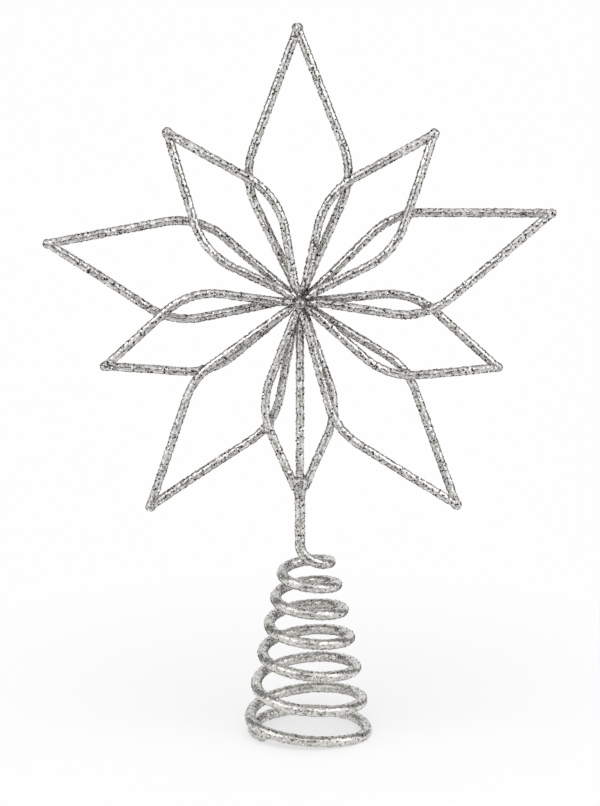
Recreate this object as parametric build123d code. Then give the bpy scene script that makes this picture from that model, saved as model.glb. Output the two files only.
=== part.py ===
from build123d import *
import math
import os
from dataclasses import dataclass

# A tree topper: a ten-petal star of bent wire, on a stem that runs into a conical coil spring.
# Millimetres, +Z up. The star faces -Y. The origin is the centre of the spring's mouth, on the
# plane that the foot of the spring stands on. Left and right of a petal are as seen from the
# front with the petal's tip turned up.

# Star frame
PETAL_WIRE_DIA = 3.5
LARGE_REACH = 108.0
SMALL_REACH = 86.5
LARGE_KNEE_REACH = 54.0
SMALL_KNEE_REACH = 46.0
KNEE_RADIUS = 30.0
HUB_SPREAD_DEG = 20.0
HUB_RUN = 2.0
HUB_BEND_RADIUS = 12.0
TIP_BEND_RADIUS = 12.0
LAYER_GAP = 0.9
# How much of a wire's outer run stays level, so that it clears the wire that it crosses
LEVEL_SHARE = 0.62

# Hub, beads and welds
HUB_PIN_DIA = 4.6
HUB_PIN_PROUD = 0.3
HUB_BALL_DIA = 5.0
HUB_BALL_SEAT = 1.0
TIP_BEAD_DIA = 4.5
CROSSING_WELD_DIA = 4.6
STEM_WELD_DIA = 8.0
STEM_WELD_RISE = 1.2
STEM_WELD_ROUND = 1.0

# Spine of the star, and the stem below it
SPINE_DIA = 3.4
STEM_LENGTH = 20.0
STEM_X = -3.4
STEM_Y = -8.0

# Coil spring, of the same wire as the stem
SPRING_WIRE_DIA = 4.5
SPRING_TOP_RADIUS = 9.0
SPRING_FOOT_RADIUS = 26.0
TOP_PITCH = 9.3
FOOT_PITCH = 16.3
FOOT_FLAT_DEPTH = 0.5
END_TUCK = 2.8
NECK_RISE = 8.0
# How far the spring's foot reaches to its front and its back, as shares of its reach to the side
FOOT_FRONT_SHARE = 0.70
FOOT_BACK_SHARE = 0.88

# Counts and angles
OPEN_TURNS = 6.0
LANDING_TURNS = 0.25
CLOSED_TURNS = 0.85
PRESSED_TURNS = 1.0
NECK_TURNS = 0.125
SPANS_PER_TURN = 4
FIRST_COIL_DEG = 270.0
TOP_PETAL_DEG = 90.0
GAP_SAMPLES_PER_ARC = 12
PATH_SAMPLES = 240

# Clearances
FIT_CLEARANCE = 0.1
MITRE_GAP = 0.06
LEAST_SPRING_GAP = 0.4


@dataclass(frozen=True)
class Petal:
    """One petal, with the small unevenness of hand bending. Pairs are left wire, right wire."""

    name: str
    large: bool
    lean_deg: float
    reach_share: float
    spread_degs: tuple
    knee_shares: tuple
    in_front: tuple


# Counter-clockwise from the top, as seen from the front
PETALS = [
    Petal("top", True, 0.5, 1.015, (24.5, 23.5), (1.03, 1.05), (False, False)),
    Petal("upper_left", False, 2.0, 1.005, (25.0, 27.0), (0.955, 0.97), (True, True)),
    Petal("left", True, 5.0, 0.98, (23.0, 27.5), (0.99, 1.005), (False, False)),
    Petal("lower_left", False, 0.5, 0.985, (21.0, 25.0), (1.045, 0.995), (False, True)),
    Petal("bottom_left", True, 0.0, 0.995, (24.5, 18.5), (0.99, 1.005), (False, True)),
    Petal("bottom", False, 0.0, 0.965, (19.5, 21.0), (1.06, 1.02), (False, True)),
    Petal("bottom_right", True, 1.5, 1.005, (20.5, 22.0), (0.975, 1.03), (False, True)),
    Petal("lower_right", False, -0.5, 1.0, (23.5, 22.5), (1.015, 1.04), (False, True)),
    Petal("right", True, 1.5, 1.005, (24.0, 27.0), (0.98, 0.97), (False, True)),
    Petal("upper_right", False, -2.5, 1.005, (25.5, 24.0), (0.99, 0.945), (True, True)),
]
STEM_PETAL = "bottom"
SIDES = {"left": 1, "right": -1}

# Sizes that follow from the ones above
wire_radius = PETAL_WIRE_DIA / 2
spring_wire_radius = SPRING_WIRE_DIA / 2
layer_depth = (PETAL_WIRE_DIA + LAYER_GAP) / 2
hub_wall = HUB_PIN_DIA / 2 + FIT_CLEARANCE
hub_depth = layer_depth + wire_radius + HUB_PIN_PROUD
petal_step_deg = 360 / len(PETALS)
# Half of the least angle between two wires of one layer, where they meet at the hub
crowd_sine = math.sin(math.radians(petal_step_deg - HUB_SPREAD_DEG))
taper_start = (PETAL_WIRE_DIA + FIT_CLEARANCE) / (2 * crowd_sine)
point_radius = hub_wall * crowd_sine - FIT_CLEARANCE / 2
landing_pitch_drop = FOOT_PITCH * LANDING_TURNS / 2
foot_height = spring_wire_radius - FOOT_FLAT_DEPTH
end_turn = OPEN_TURNS + CLOSED_TURNS
coil_top = foot_height + landing_pitch_drop + OPEN_TURNS * (TOP_PITCH + FOOT_PITCH) / 2
neck_height = coil_top + NECK_RISE
stem_bottom = neck_height + FIT_CLEARANCE
stem_top = stem_bottom + STEM_LENGTH
stem_index = [petal.name for petal in PETALS].index(STEM_PETAL)
hub = Vector(STEM_X, STEM_Y, stem_top + SMALL_REACH * PETALS[stem_index].reach_share)


def star_point(reach, azimuth_deg, depth):
    """A point of the star, by its distance and direction from the hub, and its depth behind it."""
    azimuth = math.radians(azimuth_deg)
    return hub + Vector(reach * math.cos(azimuth), depth, reach * math.sin(azimuth))


def plane_along(origin, direction):
    """A plane square to a wire that starts at a point."""
    return Plane(origin=origin, z_dir=direction)


def cone_along(origin, direction, start_radius, end_radius, length):
    """A round taper from a point along a direction."""
    cone = Cone(start_radius, end_radius, length, align=(Align.CENTER, Align.CENTER, Align.MIN))
    return plane_along(origin, direction) * cone


def tube(path, radius):
    """A round wire along a path."""
    return sweep(plane_along(path @ 0, path % 0) * Circle(radius), path=path)


# Petal wires
def petal_axis_deg(index):
    """The direction of a petal before any lean."""
    return TOP_PETAL_DEG + petal_step_deg * index


def petal_tip(index):
    """The point where a petal's two wires meet."""
    petal = PETALS[index]
    reach = (LARGE_REACH if petal.large else SMALL_REACH) * petal.reach_share
    return star_point(reach, petal_axis_deg(index) + petal.lean_deg, 0)


def wire_corners(index, side):
    """The corners of one petal wire's path, from the hub to the tip."""
    petal = PETALS[index]
    which = list(SIDES).index(side)
    turn = SIDES[side]
    depth = -layer_depth if petal.in_front[which] else layer_depth
    hub_deg = petal_axis_deg(index) + turn * HUB_SPREAD_DEG
    knee_deg = petal_axis_deg(index) + petal.lean_deg + turn * petal.spread_degs[which]
    knee_reach = (LARGE_KNEE_REACH if petal.large else SMALL_KNEE_REACH) * petal.knee_shares[which]
    start = star_point(taper_start, hub_deg, depth)
    run_end = star_point(taper_start + HUB_RUN, hub_deg, depth)
    knee = star_point(knee_reach, knee_deg, depth)
    tip = petal_tip(index)
    above_tip = tip + Vector(0, depth, 0)
    level_end = knee + (above_tip - knee) * LEVEL_SHARE
    if index == stem_index:
        tip = beside_spine(level_end, tip)
    return start, run_end, knee, level_end, tip


def beside_spine(level_end, tip):
    """The point on a wire's way to the tip where its end lies against the spine."""
    run = tip - level_end
    slope = math.hypot(run.Y, run.Z) / run.length
    offset = SPINE_DIA / 2 + wire_radius * slope + FIT_CLEARANCE
    return tip - run * (offset / abs(run.X))


def wire_path(index, side):
    """The centre line of one petal wire."""
    radii = [HUB_BEND_RADIUS, KNEE_RADIUS, TIP_BEND_RADIUS]
    return FilletPolyline(*wire_corners(index, side), radius=radii)


def mitre_plane(index, side):
    """The plane that cuts a petal wire where it meets the other wire of its petal at the tip."""
    tip = petal_tip(index)
    other = "right" if side == "left" else "left"
    own_way, other_way = [(wire_corners(index, s)[-2] - tip).normalized() for s in (side, other)]
    normal = (own_way - other_way).normalized()
    return plane_along(tip + normal * (MITRE_GAP / 2), normal)


def petal_wire(index, side, run):
    """One petal wire: its bent run, with a point at the hub and a mitre at the tip."""
    start, run_end = wire_corners(index, side)[:2]
    point = cone_along(start, start - run_end, wire_radius, point_radius, taper_start - hub_wall)
    if index == stem_index:
        return run + point
    return split(run, bisect_by=mitre_plane(index, side), keep=Keep.TOP) + point


def bead_on(centre, diameter, wires):
    """A round bead of weld that wires run through, with its seam turned away from the hub."""
    return Plane(centre, x_dir=centre - hub, z_dir=Vector(0, 1, 0)) * Sphere(diameter / 2) - wires


def crossing_point(path_a, path_b):
    """The point midway between two wires where one passes in front of the other."""
    shares = [i / PATH_SAMPLES for i in range(PATH_SAMPLES + 1)]
    points_a = [path_a @ share for share in shares]
    points_b = [path_b @ share for share in shares]
    outer = [p for p in points_a if (p - hub).length > SMALL_KNEE_REACH / 2]
    pairs = ((p, q) for p in outer for q in points_b)
    near_a, near_b = min(pairs, key=lambda pair: math.hypot(pair[0].X - pair[1].X, pair[0].Z - pair[1].Z))
    return (near_a + near_b) / 2


# Coil spring
def coil_radius(turn):
    """The distance of the spring's centre line from its axis, by turns from its top."""
    if turn <= OPEN_TURNS:
        return SPRING_TOP_RADIUS + (SPRING_FOOT_RADIUS - SPRING_TOP_RADIUS) * turn / OPEN_TURNS
    tuck_start = OPEN_TURNS + LANDING_TURNS
    tuck = max(turn - tuck_start, 0) / (end_turn - tuck_start)
    return SPRING_FOOT_RADIUS - END_TUCK * tuck * tuck


def coil_depth_share(turn):
    """How much of its round depth the spring keeps, by turns from its top: its foot is pressed in."""
    pressed = (turn - OPEN_TURNS + PRESSED_TURNS) / PRESSED_TURNS
    behind = math.sin(math.radians(FIRST_COIL_DEG + 360 * turn)) > 0
    foot_share = FOOT_BACK_SHARE if behind else FOOT_FRONT_SHARE
    return 1 - (1 - foot_share) * min(max(pressed, 0), 1)


def coil_height(turn):
    """The height of the spring's centre line, by turns from its top."""
    left = OPEN_TURNS - turn
    if left >= 0:
        easing = (FOOT_PITCH - TOP_PITCH) / (2 * OPEN_TURNS)
        return foot_height + landing_pitch_drop + FOOT_PITCH * left - easing * left * left
    landing = max(left + LANDING_TURNS, 0) / LANDING_TURNS
    return foot_height + landing_pitch_drop * landing * landing


def coil_point(turn):
    """A point of the spring's centre line."""
    angle = math.radians(FIRST_COIL_DEG + 360 * turn)
    radius = coil_radius(turn)
    depth = radius * coil_depth_share(turn)
    return Vector(radius * math.cos(angle), depth * math.sin(angle), coil_height(turn))


def coil_tangent(turn):
    """The direction of the spring's centre line, going down."""
    step = 1 / (SPANS_PER_TURN * PATH_SAMPLES)
    return (coil_point(turn + step) - coil_point(turn - step)).normalized()


def biarc(start, start_way, end, end_way):
    """Two arcs that join two points, with a given direction at each and one between them."""
    chord = end - start
    ways = start_way + end_way
    bend = 2 * (1 - start_way.dot(end_way))
    along = chord.dot(ways)
    reach = (math.sqrt(along * along + bend * chord.dot(chord)) - along) / bend
    middle = (start + end + (start_way - end_way) * reach) / 2
    middle_way = (end - end_way * reach) - (start + start_way * reach)
    return [TangentArc(start, middle, tangent=start_way), TangentArc(middle, end, tangent=middle_way)]


def spring_path():
    """The spring's centre line, from the end of the stem to the tucked end of the wire."""
    quarters = range(1, math.ceil(end_turn * SPANS_PER_TURN))
    turns = [NECK_TURNS] + [quarter / SPANS_PER_TURN for quarter in quarters] + [end_turn]
    stations = [(Vector(STEM_X, STEM_Y, neck_height), Vector(0, 0, -1))]
    stations += [(coil_point(turn), coil_tangent(turn)) for turn in turns]
    arcs = []
    for (start, start_way), (end, end_way) in zip(stations, stations[1:]):
        arcs += biarc(start, start_way, end, end_way)
    return arcs


def least_gap(arcs):
    """The least clear gap between the spring's wire and another turn of itself, on points."""
    points = []
    for arc in arcs:
        points += [arc @ (step / GAP_SAMPLES_PER_ARC) for step in range(GAP_SAMPLES_PER_ARC)]
    apart = SPANS_PER_TURN * GAP_SAMPLES_PER_ARC
    pairs = ((p, q) for i, p in enumerate(points) for q in points[i + apart:])
    return min((p - q).length for p, q in pairs) - SPRING_WIRE_DIA


def tree_spring():
    """The coil spring: one wire from the stem to its tucked end, cut flat where it stands."""
    arcs = spring_path()
    wire = tube(Wire(arcs), spring_wire_radius)
    length = sum(arc.length for arc in arcs)
    swept_share = wire.volume / (length * math.pi * spring_wire_radius ** 2)
    gap = least_gap(arcs)
    print(f"spring wire {length:.1f} mm long, volume {swept_share:.4f} of section times length")
    print(f"least gap of the spring to itself {gap:.2f} mm, over {LEAST_SPRING_GAP} mm wanted")
    print(f"tightest bend of the spring's wire {min(arc.radius for arc in arcs):.2f} mm")
    width = 2 * (SPRING_FOOT_RADIUS + SPRING_WIRE_DIA)
    below = Box(width, width, SPRING_WIRE_DIA, align=(Align.CENTER, Align.CENTER, Align.MAX))
    return wire - below


# Spine, stem and hub
def upright(bottom, top, diameter):
    """A straight wire on the stem's axis."""
    wire = Cylinder(diameter / 2, top - bottom, align=(Align.CENTER, Align.CENTER, Align.MIN))
    return Pos(STEM_X, STEM_Y, bottom) * wire


def spine():
    """The star's upright wire, with a point that fits between the petal wires below the hub."""
    reach = SPINE_DIA / 2 + wire_radius + FIT_CLEARANCE
    full_start = math.sqrt(reach ** 2 - layer_depth ** 2) / crowd_sine
    tip_radius = math.hypot(taper_start * crowd_sine, layer_depth) - wire_radius - FIT_CLEARANCE
    shoulder = star_point(full_start, -TOP_PETAL_DEG, 0)
    point = cone_along(shoulder, Vector(0, 0, 1), SPINE_DIA / 2, tip_radius, full_start - taper_start)
    return upright(stem_top, shoulder.Z, SPINE_DIA) + point


def hub_pin():
    """The pin that all the petal wires point at."""
    pin = Cylinder(HUB_PIN_DIA / 2, 2 * hub_depth)
    return plane_along(hub, Vector(0, -1, 0)) * pin


def stem_weld(held):
    """The weld where the stem meets the spine and the two wires of the lowest petal."""
    wire_ends = [wire_corners(stem_index, side)[-1].Z for side in SIDES]
    foot = Vector(STEM_X, STEM_Y, stem_top)
    height = max(wire_ends) + STEM_WELD_RISE - stem_top
    weld = cone_along(foot, Vector(0, 0, 1), spring_wire_radius, STEM_WELD_DIA / 2, height)
    weld = fillet(weld.edges().sort_by(Axis.Z)[-1], STEM_WELD_ROUND)
    return weld - held


# The whole topper
nodes = {}
paths = {(i, side): wire_path(i, side) for i in range(len(PETALS)) for side in SIDES}
runs = {key: tube(path, wire_radius) for key, path in paths.items()}
for index, petal in enumerate(PETALS):
    for side in SIDES:
        nodes[f"{petal.name}_petal_{side}_wire"] = petal_wire(index, side, runs[index, side])
    if index != stem_index:
        pair = [runs[index, side] for side in SIDES]
        nodes[f"{petal.name}_petal_tip_bead"] = bead_on(petal_tip(index), TIP_BEAD_DIA, pair)
    left = (index, "left")
    right = ((index + 1) % len(PETALS), "right")
    weld = bead_on(crossing_point(paths[left], paths[right]), CROSSING_WELD_DIA, [runs[left], runs[right]])
    nodes[f"{petal.name}_{PETALS[right[0]].name}_crossing_weld"] = weld

nodes["hub_pin"] = hub_pin()
ball_centre = hub - Vector(0, hub_depth + HUB_BALL_DIA / 2 - HUB_BALL_SEAT, 0)
nodes["hub_ball"] = Pos(*ball_centre) * Sphere(HUB_BALL_DIA / 2) - nodes["hub_pin"]
nodes["spine"] = spine()
nodes["stem"] = upright(stem_bottom, stem_top, SPRING_WIRE_DIA)
stem_wires = [nodes[f"{STEM_PETAL}_petal_{side}_wire"] for side in SIDES]
nodes["stem_weld"] = stem_weld([nodes["spine"]] + stem_wires)
nodes["tree_spring"] = tree_spring()

os.makedirs("parts", exist_ok=True)
for name, solid in nodes.items():
    export_step(solid, f"parts/{name}.step")
print(f"{len(nodes)} nodes")
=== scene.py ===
import logging
import math
import zlib
from dataclasses import dataclass, field
from enum import Enum
from random import Random
from typing import Any, Sequence

import bmesh
import bpy
import numpy as np
from bmesh.types import BMesh
from bpy.types import Material, Object
from mathutils import Matrix, Vector

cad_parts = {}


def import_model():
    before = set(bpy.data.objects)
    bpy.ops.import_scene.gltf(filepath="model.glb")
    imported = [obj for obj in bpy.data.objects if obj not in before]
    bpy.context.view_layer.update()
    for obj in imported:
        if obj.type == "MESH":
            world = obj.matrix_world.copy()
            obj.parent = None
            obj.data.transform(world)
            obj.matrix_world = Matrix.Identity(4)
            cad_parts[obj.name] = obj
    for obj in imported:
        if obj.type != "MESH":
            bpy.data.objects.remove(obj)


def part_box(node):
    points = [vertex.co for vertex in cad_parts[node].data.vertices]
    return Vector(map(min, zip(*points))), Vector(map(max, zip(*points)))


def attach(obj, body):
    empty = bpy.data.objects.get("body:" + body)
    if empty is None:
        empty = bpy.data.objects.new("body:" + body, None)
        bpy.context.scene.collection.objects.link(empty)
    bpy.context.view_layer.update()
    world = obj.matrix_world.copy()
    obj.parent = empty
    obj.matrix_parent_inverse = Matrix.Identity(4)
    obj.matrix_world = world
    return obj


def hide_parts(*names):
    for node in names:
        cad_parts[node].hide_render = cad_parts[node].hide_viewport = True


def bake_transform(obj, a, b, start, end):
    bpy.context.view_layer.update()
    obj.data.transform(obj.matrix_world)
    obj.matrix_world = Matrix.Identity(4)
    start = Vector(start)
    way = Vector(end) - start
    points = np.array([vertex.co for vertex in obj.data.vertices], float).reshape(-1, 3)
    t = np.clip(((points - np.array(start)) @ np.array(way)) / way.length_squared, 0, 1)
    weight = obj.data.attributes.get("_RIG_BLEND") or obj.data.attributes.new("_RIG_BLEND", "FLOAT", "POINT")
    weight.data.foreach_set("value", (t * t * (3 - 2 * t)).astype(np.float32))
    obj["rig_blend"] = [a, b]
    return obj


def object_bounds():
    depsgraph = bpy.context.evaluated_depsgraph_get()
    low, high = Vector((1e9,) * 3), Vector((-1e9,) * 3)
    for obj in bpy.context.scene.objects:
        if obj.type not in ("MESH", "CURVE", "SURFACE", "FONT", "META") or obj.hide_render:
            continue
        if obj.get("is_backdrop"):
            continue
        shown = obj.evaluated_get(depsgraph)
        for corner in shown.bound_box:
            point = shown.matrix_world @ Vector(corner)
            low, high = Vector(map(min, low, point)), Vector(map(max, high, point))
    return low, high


# A wire star for the top of a tree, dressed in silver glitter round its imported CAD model.
# Metres, +Z up. The star faces -Y.

LOG = logging.getLogger("tree_topper")
MM = 0.001
TONE = "tone"
WHITE = (1.0, 1.0, 1.0, 1.0)
# A colour or a place, and the radius of a piece at distances along it
Triple = tuple[float, float, float]
Profile = Sequence[tuple[float, float]]


class Side(Enum):
    """The two wires of a petal, seen from the front with the petal's tip turned up."""

    LEFT = 1
    RIGHT = -1


class Layer(Enum):
    """The two layers of wire in the star."""

    FRONT = -1
    BACK = 1


class PetalSize(Enum):
    """The two sizes of petal, in turn round the hub."""

    LARGE = "large"
    SMALL = "small"


class Body(Enum):
    """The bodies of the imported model."""

    SPRING = "spring"
    STAR = "star"


class Slot(Enum):
    """The record's material slots."""

    PETAL = "petal_wire"
    SPRING = "spring_wire"
    BEAD = "weld_bead"


# Shader maths


class Sock:
    """An output socket that takes part in Python arithmetic."""

    def __init__(self, graph: "Graph", socket: bpy.types.NodeSocket) -> None:
        """Keep the socket and the graph that it belongs to."""
        self.graph = graph
        self.socket = socket

    def _math(self, operation: str, first: Any, second: Any) -> "Sock":
        """One Math node on two values."""
        return self.graph.add("ShaderNodeMath", {"operation": operation}, {0: first, 1: second})

    def __add__(self, other: Any) -> "Sock":
        """The sum with a value."""
        return self._math("ADD", self, other)

    def __radd__(self, other: Any) -> "Sock":
        """The sum with a value on the left."""
        return self._math("ADD", other, self)

    def __sub__(self, other: Any) -> "Sock":
        """The difference from a value."""
        return self._math("SUBTRACT", self, other)

    def __rsub__(self, other: Any) -> "Sock":
        """The difference of a value on the left."""
        return self._math("SUBTRACT", other, self)

    def __mul__(self, other: Any) -> "Sock":
        """The product with a value."""
        return self._math("MULTIPLY", self, other)

    def __rmul__(self, other: Any) -> "Sock":
        """The product with a value on the left."""
        return self._math("MULTIPLY", other, self)

    def __or__(self, other: Any) -> "Sock":
        """The larger of two masks."""
        return self._math("MAXIMUM", self, other)


class Graph:
    """A node tree that is filled one node at a time."""

    def __init__(self, tree: bpy.types.NodeTree) -> None:
        """Start from an empty tree."""
        self.tree = tree
        tree.nodes.clear()

    def add(
        self, kind: str, settings: dict | None = None, inputs: dict | None = None, output: Any = 0
    ) -> Sock:
        """Add a node of any type.

        Args:
            kind: The node's type.
            settings: Its own settings, set first. "stops" fills a colour ramp.
            inputs: Values or links of its sockets, by name or number.
            output: The output socket that is wanted.

        Returns:
            The wanted output.
        """
        node = self.tree.nodes.new(kind)
        for key, value in (settings or {}).items():
            if key == "stops":
                self._fill_ramp(node.color_ramp, value)
            else:
                setattr(node, key, value)
        for key, value in (inputs or {}).items():
            if isinstance(value, Sock):
                self.tree.links.new(value.socket, node.inputs[key])
            else:
                node.inputs[key].default_value = value
        return Sock(self, node.outputs[output] if len(node.outputs) else None)

    @staticmethod
    def _fill_ramp(ramp: bpy.types.ColorRamp, stops: Sequence[tuple[float, tuple]]) -> None:
        """Give a colour ramp its stops.

        Args:
            ramp: The ramp of a new node.
            stops: Pairs of place and colour, from dark to bright.
        """
        while len(ramp.elements) < len(stops):
            ramp.elements.new(1.0)
        for element, (place, colour) in zip(ramp.elements, stops):
            element.position = place
            element.color = (*colour, 1.0)


def new_material(name: str) -> tuple[Material, Graph]:
    """Start a material.

    Args:
        name: Its name.

    Returns:
        The material and its empty graph.
    """
    made = bpy.data.materials.new(name)
    made.use_nodes = True
    return made, Graph(made.node_tree)


def new_object(name: str, bm: BMesh, material: Material) -> Object:
    """Turn a finished bmesh into an object of the scene.

    Args:
        name: The object's name.
        bm: Its mesh, which is freed.
        material: Its material.

    Returns:
        The object, at the origin.
    """
    mesh = bpy.data.meshes.new(name)
    bm.to_mesh(mesh)
    bm.free()
    mesh.materials.append(material)
    made = bpy.data.objects.new(name, mesh)
    bpy.context.scene.collection.objects.link(made)
    return made


# Finishes


@dataclass(frozen=True)
class GlitterFinish:
    """Silver glitter in clear glue on wire: each flake has its own tone."""

    name: str
    dark: Triple
    middle: Triple
    bright: Triple
    tone_stops: Triple = (0.08, 0.45, 0.92)
    smooth: float = 0.10
    dull: float = 0.32
    metallic: float = 0.92
    speck_size: float = 0.42 * MM
    speck_share: float = 0.08
    speck_relief: float = 0.06 * MM
    speck_bump: float = 0.2
    patch_size: float = 7.0 * MM
    patch_detail: float = 2.0
    patch_depth: float = 0.06
    # Painted shade: the coat's colour is darkened round the hub, where the wires crowd
    painted_shade_core: float = 3.0 * MM
    painted_shade_reach: float = 15.0 * MM
    painted_shade_depth: float = 0.10

    def shade(self, graph: Graph, place: Sock, speck: Sock, crowd: Vector) -> Sock:
        """How dark or bright the coat is at a point, with painted shade near the hub where the wires crowd.

        Args:
            graph: The material's graph.
            place: The point.
            speck: The value of the speck there.
            crowd: The point where the wires crowd.

        Returns:
            A shade from 0, dark, to 1, bright.
        """
        tone = graph.add("ShaderNodeAttribute", {"attribute_name": TONE}, output="Fac")
        noise = {"Vector": place, "Scale": 1 / self.patch_size, "Detail": self.patch_detail}
        patch = graph.add("ShaderNodeTexNoise", None, noise, "Fac")
        # Painted shade: the colour goes darker towards the hub, where shade falls between the crowded wires
        points = {0: place, 1: tuple(crowd)}
        distance = graph.add("ShaderNodeVectorMath", {"operation": "DISTANCE"}, points, "Value")
        fall = {"From Min": self.painted_shade_core, "From Max": self.painted_shade_reach, "To Min": 1.0, "To Max": 0.0}
        painted_crowd_shade = graph.add(
            "ShaderNodeMapRange", {"interpolation_type": "SMOOTHSTEP"}, {"Value": distance, **fall}
        )
        grain = tone * (1 - self.speck_share) + speck * self.speck_share
        return grain + (patch - 0.5) * self.patch_depth - painted_crowd_shade * self.painted_shade_depth

    def material(self, crowd: Vector) -> Material:
        """Make the material.

        Args:
            crowd: The point where the wires crowd, round which painted shade darkens the coat.

        Returns:
            A metal whose colour and gloss change from flake to flake.
        """
        made, graph = new_material(self.name)
        place = graph.add("ShaderNodeTexCoord", output="Object")
        cells = {"Vector": place, "Scale": 1 / self.speck_size}
        speck_colour = graph.add("ShaderNodeTexVoronoi", {"feature": "F1"}, cells, "Color")
        speck = graph.add("ShaderNodeSeparateColor", None, {"Color": speck_colour}, "Red")
        stops = list(zip(self.tone_stops, (self.dark, self.middle, self.bright)))
        shade = self.shade(graph, place, speck, crowd)
        colour = graph.add("ShaderNodeValToRGB", {"stops": stops}, {"Fac": shade}, "Color")
        edge = graph.add("ShaderNodeTexVoronoi", {"feature": "DISTANCE_TO_EDGE"}, cells, "Distance")
        relief = {"Strength": self.speck_bump, "Distance": self.speck_relief, "Height": edge}
        bump = graph.add("ShaderNodeBump", None, relief, "Normal")
        roughness = self.smooth + (self.dull - self.smooth) * speck
        surface = {"Base Color": colour, "Metallic": self.metallic, "Roughness": roughness, "Normal": bump}
        shader = graph.add("ShaderNodeBsdfPrincipled", None, surface, "BSDF")
        graph.add("ShaderNodeOutputMaterial", None, {"Surface": shader})
        return made


@dataclass(frozen=True)
class PolishedFinish:
    """Bare polished metal, a little worn."""

    name: str
    dark: Triple
    pale: Triple
    wear_stops: tuple[float, float] = (0.35, 0.62)
    smooth: float = 0.06
    dull: float = 0.18
    wear_size: float = 1.2 * MM
    wear_detail: float = 3.0

    def material(self, crowd: Vector) -> Material:
        """Make the material.

        Args:
            crowd: The hub, from which the wear is measured.

        Returns:
            A bright metal with uneven gloss.
        """
        made, graph = new_material(self.name)
        place = graph.add("ShaderNodeTexCoord", output="Object")
        points = {0: place, 1: tuple(crowd)}
        local = graph.add("ShaderNodeVectorMath", {"operation": "SUBTRACT"}, points, "Vector")
        noise = {"Vector": local, "Scale": 1 / self.wear_size, "Detail": self.wear_detail}
        wear = graph.add("ShaderNodeTexNoise", None, noise, "Fac")
        stops = list(zip(self.wear_stops, (self.dark, self.pale)))
        colour = graph.add("ShaderNodeValToRGB", {"stops": stops}, {"Fac": wear}, "Color")
        roughness = self.smooth + (self.dull - self.smooth) * wear
        surface = {"Base Color": colour, "Metallic": 1.0, "Roughness": roughness}
        shader = graph.add("ShaderNodeBsdfPrincipled", None, surface, "BSDF")
        graph.add("ShaderNodeOutputMaterial", None, {"Surface": shader})
        return made


Finish = GlitterFinish | PolishedFinish
HUB_POLISH = PolishedFinish("hub_polish", dark=(0.20, 0.195, 0.19), pale=(0.48, 0.47, 0.46))
PETAL_GLITTER = GlitterFinish(
    "petal_glitter", dark=(0.035, 0.030, 0.026), middle=(0.615, 0.593, 0.567), bright=(1.0, 0.995, 0.99)
)
SPRING_GLITTER = GlitterFinish(
    "spring_glitter",
    dark=(0.04, 0.036, 0.032),
    middle=(0.55, 0.536, 0.507),
    bright=(0.98, 0.975, 0.95),
    smooth=0.14,
    dull=0.3,
    metallic=0.85,
)
BEAD_GLITTER = GlitterFinish(
    "bead_glitter", dark=(0.03, 0.026, 0.023), middle=(0.44, 0.422, 0.404), bright=(1.0, 0.995, 0.99)
)


# Centre lines


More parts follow.
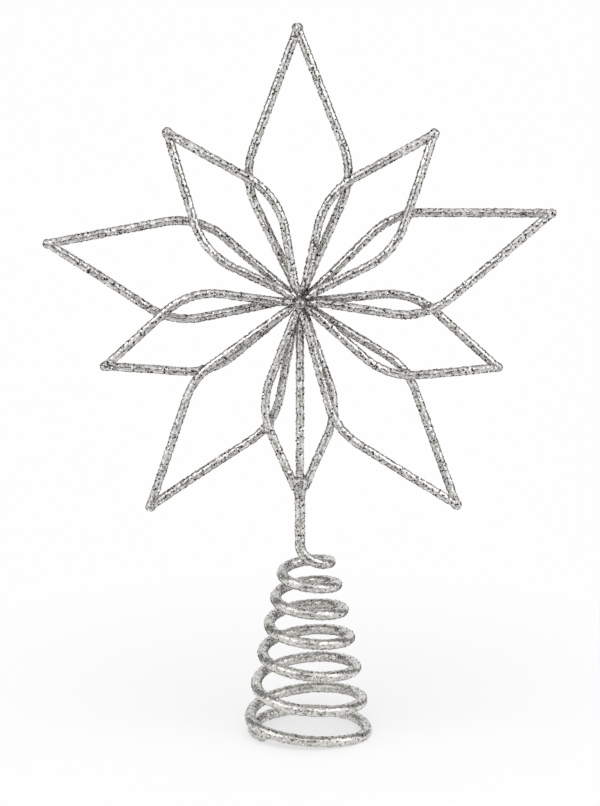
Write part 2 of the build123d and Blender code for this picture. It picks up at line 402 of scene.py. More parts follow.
class WirePath:
    """The centre line of a wire, as points close together with a frame at each."""

    STEP = 0.25 * MM
    STRAIGHT_SHARE = 1e-6

    def __init__(self, arcs: Sequence[tuple[Vector, Vector, Vector]]) -> None:
        """Sample a chain of runs and arcs.

        Args:
            arcs: For each run or arc its start, its direction there and its end.
        """
        points = []
        for start, way, end in arcs:
            points += self._arc_points(start, way.normalized(), end)
        points.append(arcs[-1][2])
        self.points = np.array([tuple(p) for p in points])
        runs = np.diff(self.points, axis=0)
        lengths = np.linalg.norm(runs, axis=1)
        self.stations = np.concatenate([[0.0], np.cumsum(lengths)])
        self.length = float(self.stations[-1])
        ways = runs / lengths[:, None]
        ways = np.vstack([ways[:1], ways[1:] + ways[:-1], ways[-1:]])
        self.ways = ways / np.linalg.norm(ways, axis=1)[:, None]
        self.normals = self._carried_normals()
        self.binormals = np.cross(self.ways, self.normals)

    @classmethod
    def _arc_points(cls, start: Vector, way: Vector, end: Vector) -> list[Vector]:
        """Points of the arc that leaves a point in a direction and reaches another.

        Args:
            start: First point.
            way: Direction at the first point, of length 1.
            end: Last point.

        Returns:
            Points from the first one up to, and without, the last one.
        """
        chord = end - start
        aside = chord - way * chord.dot(way)
        if aside.length < cls.STRAIGHT_SHARE * chord.length:
            count = max(1, math.ceil(chord.length / cls.STEP))
            return [start + chord * (i / count) for i in range(count)]
        half_turn = math.atan2(aside.length, chord.dot(way))
        radius = chord.length / (2 * math.sin(half_turn))
        normal = aside.normalized()
        count = max(2, math.ceil(2 * half_turn * radius / cls.STEP))
        turns = [2 * half_turn * i / count for i in range(count)]
        return [start + (way * math.sin(t) + normal * (1 - math.cos(t))) * radius for t in turns]

    def _carried_normals(self) -> np.ndarray:
        """Carry a normal along the line without twist.

        Returns:
            The normal at each point.
        """
        first = self.ways[0]
        aside = np.eye(3)[int(np.argmin(np.abs(first)))]
        normal = np.cross(first, aside)
        normals = []
        for way in self.ways:
            normal = normal - way * normal.dot(way)
            normal = normal / np.linalg.norm(normal)
            normals.append(normal)
        return np.array(normals)

    @classmethod
    def straight(cls, start: Vector, end: Vector) -> "WirePath":
        """A straight centre line."""
        return cls([(start, end - start, end)])

    @classmethod
    def bent(cls, corners: Sequence[Vector], radii: Sequence[float]) -> "WirePath":
        """A line with rounded corners.

        Args:
            corners: The line's corners, ends included.
            radii: The bend radius at each inner corner.

        Returns:
            The centre line.
        """
        arcs = []
        here = corners[0]
        for before, corner, after, radius in zip(corners, corners[1:], corners[2:], radii):
            way_in = (corner - before).normalized()
            way_out = (after - corner).normalized()
            setback = radius * math.tan(way_in.angle(way_out) / 2)
            arcs.append((here, way_in, corner - way_in * setback))
            arcs.append((corner - way_in * setback, way_in, corner + way_out * setback))
            here = corner + way_out * setback
        arcs.append((here, corners[-1] - here, corners[-1]))
        return cls(arcs)

    def carry(self, bm: BMesh) -> None:
        """Bend a piece that lies along X onto this line.

        Args:
            bm: The piece's mesh, with the distance along the wire as X.
        """
        straight = np.array([tuple(vert.co) for vert in bm.verts])
        along = np.clip(straight[:, 0], 0.0, self.length)
        over = straight[:, 0] - along

        def at(values: np.ndarray) -> np.ndarray:
            """Values of the line at the points' distances."""
            return np.stack([np.interp(along, self.stations, column) for column in values.T], axis=1)

        bent = (
            at(self.points)
            + at(self.ways) * over[:, None]
            + at(self.normals) * straight[:, 1:2]
            + at(self.binormals) * straight[:, 2:3]
        )
        for vert, point in zip(bm.verts, bent):
            vert.co = point


# Glitter coat


@dataclass(frozen=True)
class GlitterCoat:
    """How the glitter lies on a piece: small grains all over, and loose flakes on them."""

    cell: float = 0.85 * MM
    rough: float = 0.125 * MM
    build_up: float = -0.01 * MM
    slide_share: float = 0.2
    least_share: float = 0.3
    merge_share: float = 0.01
    least_around: int = 9
    least_rings: int = 3
    ball_steps: int = 3
    ball_rough_share: float = 0.8
    flake_radius: float = 0.40 * MM
    flake_top_share: float = 0.9
    flake_spread: float = 0.30
    flake_thick: float = 0.07 * MM
    flake_lift: float = 0.03 * MM
    flake_tilt_deg: float = 12.0
    flake_sides: int = 6
    cover_share: float = 0.31
    facet_beta: tuple[float, float] = (6.0, 5.0)
    flake_beta: tuple[float, float] = (0.2, 0.24)
    batch: int = 64

    def slide(self, rng: Random) -> Vector:
        """How far one grain lies out of its row."""
        return Vector([rng.uniform(-1, 1) for _ in range(3)]) * (self.slide_share * self.cell)

    def flake_count(self, area: float) -> int:
        """How many flakes a surface carries."""
        return round(self.cover_share * area / (math.pi * self.flake_radius ** 2))

    def flake_place(self, point: Vector, normal: Vector, rng: Random) -> Matrix:
        """Where one flake lies on the coat.

        Args:
            point: A point on the coat.
            normal: The way out of the coat there.
            rng: The piece's random numbers.

        Returns:
            The flake's place, tilt, turn and size.
        """
        tilt = math.radians(self.flake_tilt_deg)
        turned = Matrix.Rotation(rng.gauss(0, tilt), 4, "X") @ Matrix.Rotation(rng.gauss(0, tilt), 4, "Y")
        spun = Matrix.Rotation(rng.uniform(0, math.tau), 4, "Z")
        upright = normal.to_track_quat("Z", "X").to_matrix().to_4x4()
        size = Matrix.Scale(1 + rng.uniform(-self.flake_spread, self.flake_spread), 4)
        return Matrix.Translation(point + normal * self.flake_lift) @ upright @ turned @ spun @ size

    def lay_flakes(self, bm: BMesh, places: Sequence[Matrix], rng: Random) -> None:
        """Lay flakes on the coat, a batch at a time. Each is bright or dark, seldom between.

        Args:
            bm: The piece's mesh.
            places: Where the flakes lie.
            rng: The piece's random numbers.
        """
        sizes = {"segments": self.flake_sides, "radius1": self.flake_radius, "depth": self.flake_thick}
        sizes["radius2"] = self.flake_radius * self.flake_top_share
        for first in range(0, len(places), self.batch):
            loose = bmesh.new()
            layer = loose.faces.layers.float.new(TONE)
            for place in places[first:first + self.batch]:
                made = bmesh.ops.create_cone(loose, cap_ends=True, matrix=place, **sizes)
                tone = rng.betavariate(*self.flake_beta)
                for face in {face for vert in made["verts"] for face in vert.link_faces}:
                    face[layer] = tone
            mesh = bpy.data.meshes.new("flakes")
            loose.to_mesh(mesh)
            loose.free()
            bm.from_mesh(mesh)
            bpy.data.meshes.remove(mesh)

    def crumple(self, bm: BMesh, rng: Random) -> None:
        """Give the coat its small grains, each with its own tone.

        Args:
            bm: The piece's mesh, without flakes.
            rng: The piece's random numbers.
        """
        layer = bm.faces.layers.float[TONE]
        for face in bm.faces:
            face[layer] = rng.betavariate(*self.facet_beta)
            face.smooth = True
        bmesh.ops.triangulate(bm, faces=bm.faces, quad_method="SHORT_EDGE", ngon_method="BEAUTY")
        bmesh.ops.recalc_face_normals(bm, faces=bm.faces)

    def roll_tube(self, bm: BMesh, along: np.ndarray, radii: np.ndarray, reach: np.ndarray) -> None:
        """Roll a grid into a closed round tube along X.

        Args:
            bm: An empty mesh.
            along: Distances along the tube.
            radii: The tube's radius at each.
            reach: The way over its surface to each.
        """
        around = max(self.least_around, round(math.tau * radii.max() / self.cell))
        rings = max(self.least_rings, round(reach[-1] / self.cell))
        grid = bmesh.ops.create_grid(bm, x_segments=rings, y_segments=around, size=0.5)["verts"]
        for vert in grid:
            at = (vert.co.x + 0.5) * reach[-1]
            angle = (vert.co.y + 0.5) * math.tau
            radius = np.interp(at, reach, radii) + self.build_up
            vert.co = (np.interp(at, reach, along), radius * math.cos(angle), radius * math.sin(angle))
        bmesh.ops.remove_doubles(bm, verts=bm.verts, dist=self.merge_share * self.cell)
        bmesh.ops.holes_fill(bm, edges=[edge for edge in bm.edges if edge.is_boundary], sides=0)

    def wrap_line(self, bm: BMesh, profile: Profile, rng: Random) -> None:
        """Wrap a round piece that lies along X in its coat.

        Args:
            bm: An empty mesh with a tone layer.
            profile: Pairs of distance along the piece and radius, from end to end.
            rng: The piece's random numbers.
        """
        along, radii = (np.array(values) for values in zip(*profile))
        reach = np.concatenate([[0.0], np.cumsum(np.hypot(np.diff(along), np.diff(radii)))])
        self.roll_tube(bm, along, radii, reach)
        low, high = float(along.min()), float(along.max())
        for vert in bm.verts:
            out = Vector((0, vert.co.y, vert.co.z))
            moved = vert.co + self.slide(rng)
            length = max(out.length + rng.gauss(0, self.rough), self.least_share * out.length)
            ring = Vector((0, moved.y, moved.z)).normalized() * length if out.length > 0 else out
            vert.co = (min(max(moved.x, low), high), ring.y, ring.z)
        self.crumple(bm, rng)
        area = math.pi * float(np.sum((radii[1:] + radii[:-1]) * np.diff(reach)))
        places = []
        for _ in range(self.flake_count(area)):
            at = rng.uniform(0, reach[-1])
            while rng.random() > np.interp(at, reach, radii) / radii.max():
                at = rng.uniform(0, reach[-1])
            angle = rng.uniform(0, math.tau)
            way = Vector((0, math.cos(angle), math.sin(angle)))
            radius = float(np.interp(at, reach, radii)) + self.build_up
            point = Vector((float(np.interp(at, reach, along)), 0, 0)) + way * radius
            places.append(self.flake_place(point, way, rng))
        self.lay_flakes(bm, places, rng)

    def wrap_ball(self, bm: BMesh, centre: Vector, radius: float, rng: Random) -> None:
        """Wrap a round bead in its coat.

        Args:
            bm: An empty mesh with a tone layer.
            centre: The bead's centre.
            radius: The bead's radius over the coat.
            rng: The piece's random numbers.
        """
        inner = radius + self.build_up
        rough = self.ball_rough_share * self.rough
        ball = bmesh.ops.create_icosphere(bm, subdivisions=self.ball_steps, radius=inner)["verts"]
        for vert in ball:
            way = (vert.co + self.slide(rng)).normalized()
            vert.co = centre + way * (inner + rng.gauss(0, rough))
        self.crumple(bm, rng)
        places = []
        for _ in range(self.flake_count(4 * math.pi * radius ** 2)):
            way = Vector([rng.gauss(0, 1) for _ in range(3)]).normalized()
            places.append(self.flake_place(centre + way * inner, way, rng))
        self.lay_flakes(bm, places, rng)


# Pieces of the topper


def middle_of(node: str) -> Vector:
    """The middle of a CAD node's box."""
    low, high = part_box(node)
    return (Vector(low) + Vector(high)) / 2


def width_of(node: str) -> float:
    """The width of a CAD node's box from side to side."""
    low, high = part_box(node)
    return high[0] - low[0]


@dataclass
class Bench:
    """What every piece is made with: the CAD box, the hub and the materials."""

    low: Vector
    high: Vector
    hub: Vector
    materials: dict[str, Material] = field(default_factory=dict)

    @staticmethod
    def start(name: str) -> tuple[BMesh, Random]:
        """Start a piece.

        Args:
            name: The piece's own name.

        Returns:
            An empty mesh with a tone layer, and random numbers that belong to the name.
        """
        bm = bmesh.new()
        bm.faces.layers.float.new(TONE)
        return bm, Random(zlib.crc32(name.encode()))

    def finish(self, bm: BMesh, name: str, finish: Finish, slot: Slot, node: str) -> Object:
        """Turn a mesh into a dressed piece that stands for a CAD node, inside the CAD box.

        Args:
            bm: The finished mesh.
            name: The piece's name.
            finish: Its finish.
            slot: The record's material slot; not used.
            node: The CAD node that it stands for.

        Returns:
            The piece, not yet on a body.
        """
        for vert in bm.verts:
            vert.co = [min(max(c, low), high) for c, low, high in zip(vert.co, self.low, self.high)]
        if finish.name not in self.materials:
            self.materials[finish.name] = finish.material(self.hub)
        piece = new_object(name, bm, self.materials[finish.name])
        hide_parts(node)
        LOG.info("%s: %d faces", name, len(piece.data.polygons))
        return piece

    def wrap(
        self, node: str, coat: GlitterCoat, path: WirePath, profile: Profile, finish: Finish, slot: Slot
    ) -> Object:
        """Make one whole round piece in its coat.

        Args:
            node: The CAD node that it stands for.
            coat: How its glitter lies.
            path: Its centre line.
            profile: Pairs of distance along it and radius.
            finish: Its finish.
            slot: The record's material slot.

        Returns:
            The piece, not yet on a body.
        """
        bm, rng = self.start(node)
        coat.wrap_line(bm, profile, rng)
        path.carry(bm)
        return self.finish(bm, f"coated_{node}", finish, slot, node)


@dataclass(frozen=True)
class Petal:
    """One petal, with the unevenness of hand bending. Pairs are left wire, right wire."""

    name: str
    size: PetalSize
    lean_deg: float
    reach_share: float
    spread_degs: tuple[float, float]
    knee_shares: tuple[float, float]
    layers: tuple[Layer, Layer]


BACK_BACK = (Layer.BACK, Layer.BACK)
BACK_FRONT = (Layer.BACK, Layer.FRONT)
FRONT_FRONT = (Layer.FRONT, Layer.FRONT)
# Counter-clockwise from the top, as seen from the front
PETALS = [
    Petal("top", PetalSize.LARGE, 0.5, 1.015, (24.5, 23.5), (1.03, 1.05), BACK_BACK),
    Petal("upper_left", PetalSize.SMALL, 2.0, 1.005, (25.0, 27.0), (0.955, 0.97), FRONT_FRONT),
    Petal("left", PetalSize.LARGE, 5.0, 0.98, (23.0, 27.5), (0.99, 1.005), BACK_BACK),
    Petal("lower_left", PetalSize.SMALL, 0.5, 0.985, (21.0, 25.0), (1.045, 0.995), BACK_FRONT),
    Petal("bottom_left", PetalSize.LARGE, 0.0, 0.995, (24.5, 18.5), (0.99, 1.005), BACK_FRONT),
    Petal("bottom", PetalSize.SMALL, 0.0, 0.965, (19.5, 21.0), (1.06, 1.02), BACK_FRONT),
    Petal("bottom_right", PetalSize.LARGE, 1.5, 1.005, (20.5, 22.0), (0.975, 1.03), BACK_FRONT),
    Petal("lower_right", PetalSize.SMALL, -0.5, 1.0, (23.5, 22.5), (1.015, 1.04), BACK_FRONT),
    Petal("right", PetalSize.LARGE, 1.5, 1.005, (24.0, 27.0), (0.98, 0.97), BACK_FRONT),
    Petal("upper_right", PetalSize.SMALL, -2.5, 1.005, (25.5, 24.0), (0.99, 0.945), FRONT_FRONT),
]


@dataclass
class StarFrame:
    """The star: petal wires, beads, welds, spine, stem and hub."""

    bench: Bench
    coat: GlitterCoat = GlitterCoat()
    reach: dict[PetalSize, float] = field(
        default_factory=lambda: {PetalSize.LARGE: 108.0 * MM, PetalSize.SMALL: 86.5 * MM}
    )
    knee_reach: dict[PetalSize, float] = field(
        default_factory=lambda: {PetalSize.LARGE: 54.0 * MM, PetalSize.SMALL: 46.0 * MM}
    )
    top_petal_deg: float = 90.0
    stem_petal: str = "bottom"
    wire_radius: float = 1.75 * MM
    wire_end: float = 0.4 * MM
    wire_end_share: float = 0.7
    knee_radius: float = 30.0 * MM
    small_bend_radius: float = 12.0 * MM
    hub_spread_deg: float = 20.0
    hub_run: float = 2.0 * MM
    hub_wall: float = 2.4 * MM
    taper_start: float = 6.53 * MM
    point_radius: float = 0.62 * MM
    layer_depth: float = 2.2 * MM
    level_share: float = 0.62
    mitre_gap: float = 0.03 * MM
    spine_end: float = 0.4 * MM
    spine_point: float = 3.5 * MM
    spine_end_share: float = 0.5
    ball_sides: int = 40
    ball_rows: int = 24
    pin_rim: float = 0.1 * MM
    pin_shoulder: float = 0.5 * MM
    pin_face_share: float = 0.1
    pin_rim_share: float = 0.8
    weld_foot_radius: float = 2.2 * MM
    weld_foot: float = 0.3 * MM
    weld_foot_share: float = 0.9
    weld_head_radius: float = 3.8 * MM
    weld_shoulder: float = 1.2 * MM
    weld_crown: float = 0.3 * MM
    weld_rim_share: float = 0.86
    weld_crown_share: float = 0.4
    stem_bare: float = 0.12 * MM
    stem_sink: float = 0.5 * MM
    stem_end: float = 0.3 * MM
    stem_end_share: float = 0.9

    def __post_init__(self) -> None:
        """Find the hub and the spine's size in the CAD frame."""
        self.hub = self.bench.hub
        self.spine_radius = width_of("spine") / 2

    def point(self, reach: float, azimuth_deg: float, depth: float) -> Vector:
        """A point of the star by its distance and direction from the hub, and its depth behind it."""
        angle = math.radians(azimuth_deg)
        return self.hub + Vector((reach * math.cos(angle), depth, reach * math.sin(angle)))

    def axis_deg(self, index: int) -> float:
        """The direction of a petal before any lean."""
        return self.top_petal_deg + 360.0 / len(PETALS) * index

    def tip(self, index: int) -> Vector:
        """The point where a petal's two wires meet, midway between the star's layers."""
        reach = self.reach[PETALS[index].size] * PETALS[index].reach_share
        return self.point(reach, self.axis_deg(index) + PETALS[index].lean_deg, 0.0)

    def corners(self, index: int, side: Side) -> list[Vector]:
        """The corners of one petal wire's centre line, from the hub to the tip.

        Args:
            index: Which petal.
            side: Which of its wires.

        Returns:
            The point at the hub, the end of the first run, the knee, the end of the level run and the tip.
        """
        petal = PETALS[index]
        which = list(Side).index(side)
        depth = petal.layers[which].value * self.layer_depth
        hub_deg = self.axis_deg(index) + side.value * self.hub_spread_deg
        knee_deg = self.axis_deg(index) + petal.lean_deg + side.value * petal.spread_degs[which]
        knee = self.point(self.knee_reach[petal.size] * petal.knee_shares[which], knee_deg, depth)
        tip = self.tip(index)
        level_end = knee.lerp(tip + Vector((0, depth, 0)), self.level_share)
        if petal.name == self.stem_petal:
            run = tip - level_end
            tip = tip - run * (self.spine_radius / abs(run.x))
        return [
            self.point(self.hub_wall, hub_deg, depth),
            self.point(self.taper_start + self.hub_run, hub_deg, depth),
            knee,
            level_end,
            tip,
        ]

    def upright(self, low: float, high: float) -> WirePath:
        """A straight centre line under the hub, between two heights."""
        return WirePath.straight(*(Vector((self.hub.x, self.hub.y, height)) for height in (low, high)))

    def mitre(self, bm: BMesh, index: int, side: Side) -> None:
        """Cut a petal wire where it meets the other wire of its petal.

        Args:
            bm: The wire's mesh, in place.
            index: Which petal.
            side: Which of its wires.
        """
        tip = self.tip(index)
        other = Side.RIGHT if side is Side.LEFT else Side.LEFT
        own, across = [(self.corners(index, s)[-2] - tip).normalized() for s in (side, other)]
        normal = (own - across).normalized()
        cut = tip + normal * self.mitre_gap
        geometry = [*bm.verts, *bm.edges, *bm.faces]
        bmesh.ops.bisect_plane(bm, geom=geometry, plane_co=cut, plane_no=normal, clear_inner=True)
        bmesh.ops.holes_fill(bm, edges=[edge for edge in bm.edges if edge.is_boundary], sides=0)

    def build_wire(self, index: int, side: Side) -> Object:
        """Build one petal wire in its coat.

        Args:
            index: Which petal.
            side: Which of its wires.

        Returns:
            The wire, with a point at the hub and a mitre at the tip.
        """
        petal = PETALS[index]
        name = f"{petal.name}_petal_{side.name.lower()}_wire"
        bm, rng = self.bench.start(name)
        radii = [self.small_bend_radius, self.knee_radius, self.small_bend_radius]
        path = WirePath.bent(self.corners(index, side), radii)
        profile = [
            (0.0, self.point_radius),
            (self.taper_start - self.hub_wall, self.wire_radius),
            (path.length - self.wire_end, self.wire_radius),
            (path.length, self.wire_end_share * self.wire_radius),
        ]
        self.coat.wrap_line(bm, profile, rng)
        path.carry(bm)
        if petal.name != self.stem_petal:
            self.mitre(bm, index, side)
        return self.bench.finish(bm, f"coated_{name}", PETAL_GLITTER, Slot.PETAL, name)

    def build_bead(self, name: str) -> Object:
        """Build one bead or weld in its coat.

        Args:
            name: Its CAD node.

        Returns:
            The bead, in the place of its node.
        """
        bm, rng = self.bench.start(name)
        self.coat.wrap_ball(bm, middle_of(name), width_of(name) / 2, rng)
        return self.bench.finish(bm, f"coated_{name}", BEAD_GLITTER, Slot.BEAD, name)

    def build_hub_ball(self) -> Object:
        """Build the bare polished ball in front of the hub.

        Returns:
            The ball.
        """
        bm, _ = self.bench.start("hub_ball")
        sides, rows, radius = self.ball_sides, self.ball_rows, width_of("hub_ball") / 2
        bmesh.ops.create_uvsphere(bm, u_segments=sides, v_segments=rows, radius=radius)
        bmesh.ops.translate(bm, verts=bm.verts, vec=middle_of("hub_ball"))
        for face in bm.faces:
            face.smooth = True
        return self.bench.finish(bm, "polished_hub_ball", HUB_POLISH, Slot.BEAD, "hub_ball")

    def build_hub_pin(self) -> Object:
        """Build the pin that all the petal wires point at.

        Returns:
            The pin, with rounded ends.
        """
        low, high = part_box("hub_pin")
        ends = [Vector((self.hub.x, depth, self.hub.z)) for depth in (low[1], high[1])]
        path = WirePath.straight(*ends)
        radius = (high[0] - low[0]) / 2
        end = [(0.0, self.pin_face_share), (self.pin_rim, self.pin_rim_share), (self.pin_shoulder, 1.0)]
        profile = [(at, share * radius) for at, share in end]
        profile += [(path.length - at, share * radius) for at, share in reversed(end)]
        return self.bench.wrap("hub_pin", self.coat, path, profile, BEAD_GLITTER, Slot.BEAD)

    def build_spine(self) -> Object:
        """Build the upright wire of the star.

        Returns:
            The spine, with its point at the hub.
        """
        low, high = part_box("spine")
        path = self.upright(low[2], high[2])
        end_radius = self.spine_end_share * self.spine_radius
        profile = [
            (0.0, end_radius),
            (self.spine_end, self.spine_radius),
            (path.length - self.spine_point, self.spine_radius),
            (path.length, end_radius),
        ]
        return self.bench.wrap("spine", self.coat, path, profile, PETAL_GLITTER, Slot.PETAL)

    def build_stem_weld(self) -> Object:
        """Build the weld where the stem, the spine and the lowest petal's wires meet.

        Returns:
            The weld, widening upwards.
        """
        low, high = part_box("stem_weld")
        path = self.upright(low[2], high[2])
        profile = [
            (0.0, self.weld_foot_share * self.weld_foot_radius),
            (self.weld_foot, self.weld_foot_radius),
            (path.length - self.weld_shoulder, self.weld_head_radius),
            (path.length - self.weld_crown, self.weld_rim_share * self.weld_head_radius),
            (path.length, self.weld_crown_share * self.weld_head_radius),
        ]
        return self.bench.wrap("stem_weld", self.coat, path, profile, BEAD_GLITTER, Slot.BEAD)

    def build_stem(self) -> Object:
        """Build the straight upper end of the spring's wire.

        Returns:
            The stem, sunk a little into the spring's neck.
        """
        low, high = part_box("stem")
        path = self.upright(low[2] - self.stem_sink, high[2])
        radius = (high[0] - low[0]) / 2 - self.stem_bare
        profile = [(0.0, self.stem_end_share * radius), (self.stem_end, radius), (path.length, radius)]
        return self.bench.wrap("stem", self.coat, path, profile, PETAL_GLITTER, Slot.SPRING)

    def build(self) -> list[Object]:
        """Build the whole star.

        Returns:
            Its pieces, on the star's body.
        """
        pieces = [self.build_wire(index, side) for index in range(len(PETALS)) for side in Side]
        for index, petal in enumerate(PETALS):
            beside = PETALS[(index + 1) % len(PETALS)]
            if petal.name != self.stem_petal:
                pieces.append(self.build_bead(f"{petal.name}_petal_tip_bead"))
            pieces.append(self.build_bead(f"{petal.name}_{beside.name}_crossing_weld"))
        pieces += [self.build_hub_ball(), self.build_hub_pin(), self.build_spine()]
        pieces += [self.build_stem_weld(), self.build_stem()]
        for piece in pieces:
            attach(piece, Body.STAR.value)
        return pieces


@dataclass
class TreeSpring:
    """The conical coil that grips a tree's top shoot."""

    bench: Bench
    coat: GlitterCoat = GlitterCoat(
        rough=0.075 * MM,
        build_up=0.04 * MM,
        flake_radius=0.34 * MM,
        cover_share=0.13,
        facet_beta=(9.0, 8.0),
        flake_beta=(0.2, 0.17),
    )
    wire_radius: float = 2.25 * MM
    top_radius: float = 9.0 * MM
    foot_radius: float = 26.0 * MM
    top_pitch: float = 9.3 * MM
    foot_pitch: float = 16.3 * MM
    flat_depth: float = 0.5 * MM
    end_tuck: float = 2.8 * MM
    open_turns: float = 6.0
    landing_turns: float = 0.25
    closed_turns: float = 0.85
    neck_turns: float = 0.125
    spans_per_turn: int = 4
    tangent_turns: float = 0.001
    first_coil_deg: float = 270.0
    pressed_turns: float = 1.0
    foot_front_share: float = 0.70
    foot_back_share: float = 0.88
    neck_bare: float = 0.16 * MM
    neck_run: float = 25.0 * MM
    end_shoulder: float = 0.7 * MM
    end_rim: float = 0.2 * MM
    end_rim_share: float = 0.86
    end_face_share: float = 0.5

    @property
    def end_turn(self) -> float:
        """Turns from the top of the coil to the end of the wire."""
        return self.open_turns + self.closed_turns

    def radius_at(self, turn: float) -> float:
        """The distance of the centre line from the axis.

        Args:
            turn: Turns from the top of the coil.

        Returns:
            The distance to the side, before the foot is pressed in.
        """
        if turn <= self.open_turns:
            return self.top_radius + (self.foot_radius - self.top_radius) * turn / self.open_turns
        tuck_start = self.open_turns + self.landing_turns
        tuck = max(turn - tuck_start, 0.0) / (self.end_turn - tuck_start)
        return self.foot_radius - self.end_tuck * tuck * tuck

    def depth_share_at(self, turn: float) -> float:
        """How much of its round depth the coil keeps: its foot is pressed in, most at the front.

        Args:
            turn: Turns from the top of the coil.

        Returns:
            The share that is kept.
        """
        pressed = (turn - self.open_turns + self.pressed_turns) / self.pressed_turns
        behind = math.sin(math.radians(self.first_coil_deg) + math.tau * turn) > 0
        foot_share = self.foot_back_share if behind else self.foot_front_share
        return 1.0 - (1.0 - foot_share) * min(max(pressed, 0.0), 1.0)

    def height_at(self, turn: float) -> float:
        """The height of the centre line.

        Args:
            turn: Turns from the top of the coil.

        Returns:
            The height over the floor.
        """
        foot = self.wire_radius - self.flat_depth
        drop = self.foot_pitch * self.landing_turns / 2
        left = self.open_turns - turn
        if left >= 0:
            easing = (self.foot_pitch - self.top_pitch) / (2 * self.open_turns)
            return foot + drop + self.foot_pitch * left - easing * left * left
        landing = max(left + self.landing_turns, 0.0) / self.landing_turns
        return foot + drop * landing * landing

    def point_at(self, turn: float) -> Vector:
        """A point of the centre line.

        Args:
            turn: Turns from the top of the coil.

        Returns:
            The point.
        """
        angle = math.radians(self.first_coil_deg) + math.tau * turn
        radius = self.radius_at(turn)
        depth = radius * self.depth_share_at(turn)
        return Vector((radius * math.cos(angle), depth * math.sin(angle), self.height_at(turn)))

    def way_at(self, turn: float) -> Vector:
        """The direction of the centre line, going down."""
        step = self.tangent_turns
        return (self.point_at(turn + step) - self.point_at(turn - step)).normalized()

    @staticmethod
    def biarc(start: Vector, start_way: Vector, end: Vector, end_way: Vector) -> list[tuple]:
        """Two arcs that join two points, with a given direction at each.

        Args:
            start: First point.
            start_way: Direction there.
            end: Last point.
            end_way: Direction there.

        Returns:
            The start, direction and end of each arc.
        """
        chord = end - start
        ways = start_way + end_way
        bend = 2 * (1 - start_way.dot(end_way))
        along = chord.dot(ways)
        reach = (math.sqrt(along * along + bend * chord.dot(chord)) - along) / bend
        middle = (start + end + (start_way - end_way) * reach) / 2
        middle_way = (end - end_way * reach) - (start + start_way * reach)
        return [(start, start_way, middle), (middle, middle_way, end)]

    def path(self, neck: float) -> WirePath:
        """The centre line, from the end of the stem to the tucked end of the wire.

        Args:
            neck: The height of the spring's upper end.

        Returns:
            The centre line.
        """
        stem = middle_of("stem")
        spans = range(1, math.ceil(self.end_turn * self.spans_per_turn))
        turns = [self.neck_turns, *(span / self.spans_per_turn for span in spans), self.end_turn]
        stations = [(Vector((stem.x, stem.y, neck)), Vector((0, 0, -1)))]
        stations += [(self.point_at(turn), self.way_at(turn)) for turn in turns]
        arcs = []
        for (start, start_way), (end, end_way) in zip(stations, stations[1:]):
            arcs += self.biarc(start, start_way, end, end_way)
        return WirePath(arcs)

    def build(self) -> Object:
        """Build the spring.

        Returns:
            The spring, bending between its own body and the star's.
        """
        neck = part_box("tree_spring")[1][2]
        path = self.path(neck)
        profile = [
            (0.0, self.wire_radius - self.neck_bare),
            (self.neck_run, self.wire_radius),
            (path.length - self.end_shoulder, self.wire_radius),
            (path.length - self.end_rim, self.end_rim_share * self.wire_radius),
            (path.length, self.end_face_share * self.wire_radius),
        ]
        piece = self.bench.wrap("tree_spring", self.coat, path, profile, SPRING_GLITTER, Slot.SPRING)
        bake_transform(piece, Body.SPRING.value, Body.STAR.value, start=(0, 0, 0), end=(0, 0, neck))
        return piece


# Studio


@dataclass(frozen=True)
class Softbox:
    """One soft lamp."""

    name: str
    place: Triple
    target: Triple
    width: float
    watts: float


@dataclass(frozen=True)
class Card:
    """One grey card that only metal sees, upright and facing the front, or level at no tilt."""

    name: str
    place: Triple
    radius: float
    grey: float
    tilt_deg: float = 90.0


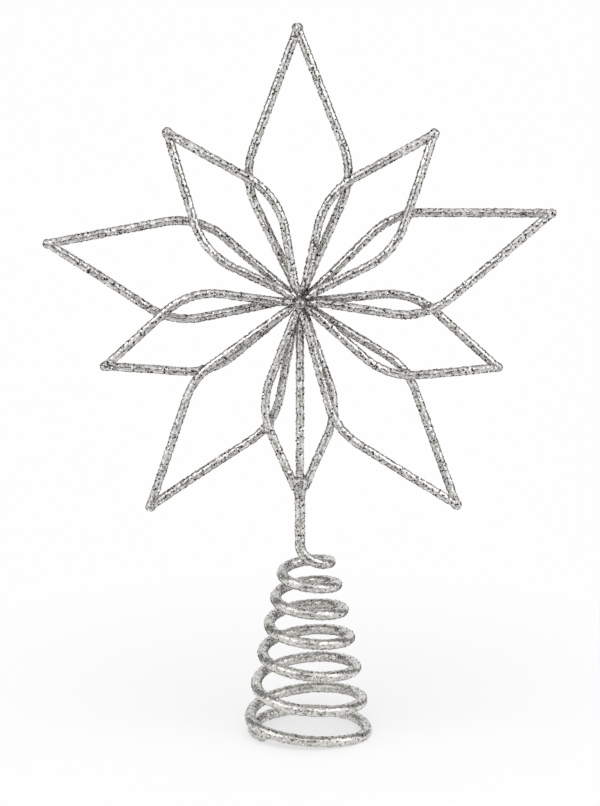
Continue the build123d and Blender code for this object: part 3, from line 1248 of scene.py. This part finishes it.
@dataclass
class Studio:
    """Floor, backdrop, lamps, cards and camera."""

    floor_size: float = 8.0
    floor_white: float = 0.569
    floor_tint: float = 0.43
    floor_bounce: float = 0.85
    far_white: float = 0.99
    fade_start: float = 0.08
    fade_end: float = 0.25
    ambient: float = 0.55
    card_sides: int = 48
    lens: float = 71.46
    sensor_width: float = 36.0
    near_clip: float = 0.01
    far_clip: float = 100.0
    camera_place: Triple = (-3.4 * MM, -663.0 * MM, 279.5 * MM)
    camera_pitch_deg: float = 11.22
    softboxes: tuple[Softbox, ...] = (
        Softbox("key_softbox", (-0.75, -0.55, 1.05), (0.0, 0.0, 0.15), 1.1, 3.5),
        Softbox("fill_softbox", (0.85, -0.45, 0.75), (0.0, 0.0, 0.15), 1.0, 2.5),
        Softbox("top_softbox", (0.0, -0.42, 1.25), (0.0, 0.0, 0.1), 0.7, 4.6),
    )
    cards: tuple[Card, ...] = (
        Card("camera_card", (0.0, -0.72, 0.28), 0.24, 0.0),
        Card("back_card", (0.0, 0.30, 0.2), 3.0, 0.2),
        Card("back_glow", (0.0, 0.28, 0.0), 0.32, 1.0),
        Card("far_floor_card", (0.0, 0.36, 0.003), 0.32, 0.15, 0.0),
        Card("near_floor_card", (0.0, -0.38, 0.003), 0.27, 0.55, 0.0),
        Card("ceiling_card", (0.0, -0.1, 0.75), 0.45, 0.8, 0.0),
    )

    @staticmethod
    def grey(level: float) -> tuple[float, float, float, float]:
        """A grey of a level from 0, black, to 1, white."""
        return (level, level, level, 1.0)

    @staticmethod
    def seen_rays(graph: Graph) -> Sock:
        """A mask of the rays that see the background: from the camera, off metal and through glass.

        Args:
            graph: The graph that needs the mask.

        Returns:
            1 for those rays, 0 for the others.
        """
        kinds = ("Is Camera Ray", "Is Glossy Ray", "Is Transmission Ray")
        camera, glossy, through = (graph.add("ShaderNodeLightPath", output=kind) for kind in kinds)
        return camera | glossy | through

    def build_world(self) -> None:
        """A white background and soft light from all round."""
        world = bpy.data.worlds.new("studio")
        world.use_nodes = True
        graph = Graph(world.node_tree)
        strength = self.ambient + self.seen_rays(graph) * (self.far_white - self.ambient)
        sky = graph.add("ShaderNodeBackground", None, {"Color": WHITE, "Strength": strength})
        graph.add("ShaderNodeOutputWorld", None, {"Surface": sky})
        bpy.context.scene.world = world

    def build_floor(self) -> None:
        """A white floor that keeps the topper's soft shadow and fades into the background."""
        bm = bmesh.new()
        bmesh.ops.create_grid(bm, x_segments=1, y_segments=1, size=self.floor_size / 2)
        paper, graph = new_material("white_paper")
        shaded = graph.add("ShaderNodeBsdfDiffuse", None, {"Color": self.grey(self.floor_tint)})
        glow = graph.add("ShaderNodeEmission", None, {"Color": WHITE, "Strength": self.floor_white})
        near = graph.add("ShaderNodeAddShader", None, {0: shaded, 1: glow})
        far = graph.add("ShaderNodeEmission", None, {"Color": WHITE, "Strength": self.far_white})
        place = graph.add("ShaderNodeTexCoord", output="Object")
        distance = graph.add("ShaderNodeVectorMath", {"operation": "LENGTH"}, {0: place}, "Value")
        fade = graph.add(
            "ShaderNodeMapRange",
            {"interpolation_type": "SMOOTHSTEP"},
            {"Value": distance, "From Min": self.fade_start, "From Max": self.fade_end},
        )
        seen_floor = graph.add("ShaderNodeMixShader", None, {0: fade, 1: near, 2: far})
        plain = graph.add("ShaderNodeBsdfDiffuse", None, {"Color": self.grey(self.floor_bounce)})
        both = graph.add("ShaderNodeMixShader", None, {0: self.seen_rays(graph), 1: plain, 2: seen_floor})
        graph.add("ShaderNodeOutputMaterial", None, {"Surface": both})
        floor = new_object("floor", bm, paper)
        floor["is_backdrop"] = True

    def build_card(self, card: Card) -> None:
        """A grey card that only metal sees.

        Args:
            card: Its place, size, grey and tilt.
        """
        bm = bmesh.new()
        turned = Matrix.Translation(card.place) @ Matrix.Rotation(math.radians(card.tilt_deg), 4, "X")
        bmesh.ops.create_circle(
            bm, cap_ends=True, segments=self.card_sides, radius=card.radius, matrix=turned
        )
        paper, graph = new_material(card.name)
        glow = graph.add("ShaderNodeEmission", None, {"Color": self.grey(card.grey), "Strength": 1.0})
        graph.add("ShaderNodeOutputMaterial", None, {"Surface": glow})
        board = new_object(card.name, bm, paper)
        for ray in ("camera", "diffuse", "shadow", "transmission"):
            setattr(board, f"visible_{ray}", False)
        board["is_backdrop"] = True

    def build_softboxes(self) -> None:
        """Large soft lamps, turned to the topper."""
        for box in self.softboxes:
            lamp = bpy.data.lights.new(box.name, "AREA")
            lamp.shape = "SQUARE"
            lamp.size = box.width
            lamp.energy = box.watts
            holder = bpy.data.objects.new(box.name, lamp)
            holder.location = box.place
            way = Vector(box.target) - Vector(box.place)
            holder.rotation_euler = way.to_track_quat("-Z", "Y").to_euler()
            bpy.context.scene.collection.objects.link(holder)

    def build_camera(self) -> None:
        """The camera at the photograph's place and angle."""
        data = bpy.data.cameras.new("camera")
        data.sensor_width = self.sensor_width
        data.lens = self.lens
        data.clip_start = self.near_clip
        data.clip_end = self.far_clip
        camera = bpy.data.objects.new("camera", data)
        camera.location = self.camera_place
        camera.rotation_euler = (math.radians(90.0 - self.camera_pitch_deg), 0.0, 0.0)
        bpy.context.scene.collection.objects.link(camera)
        bpy.context.scene.camera = camera

    def build(self) -> None:
        """Build the whole studio."""
        bpy.context.scene.view_settings.view_transform = "Standard"
        self.build_world()
        self.build_floor()
        for card in self.cards:
            self.build_card(card)
        self.build_softboxes()
        self.build_camera()


def main() -> None:
    """Build the topper and its studio, in order."""
    logging.basicConfig(level=logging.INFO, format="%(name)s: %(message)s")
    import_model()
    cad_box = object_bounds()
    bench = Bench(*cad_box, middle_of("hub_pin"))
    Studio().build()
    star = StarFrame(bench).build()
    LOG.info("star: %d pieces", len(star))
    spring = TreeSpring(bench).build()
    LOG.info("spring: %s", spring.name)


if __name__ == "__main__":
    main()
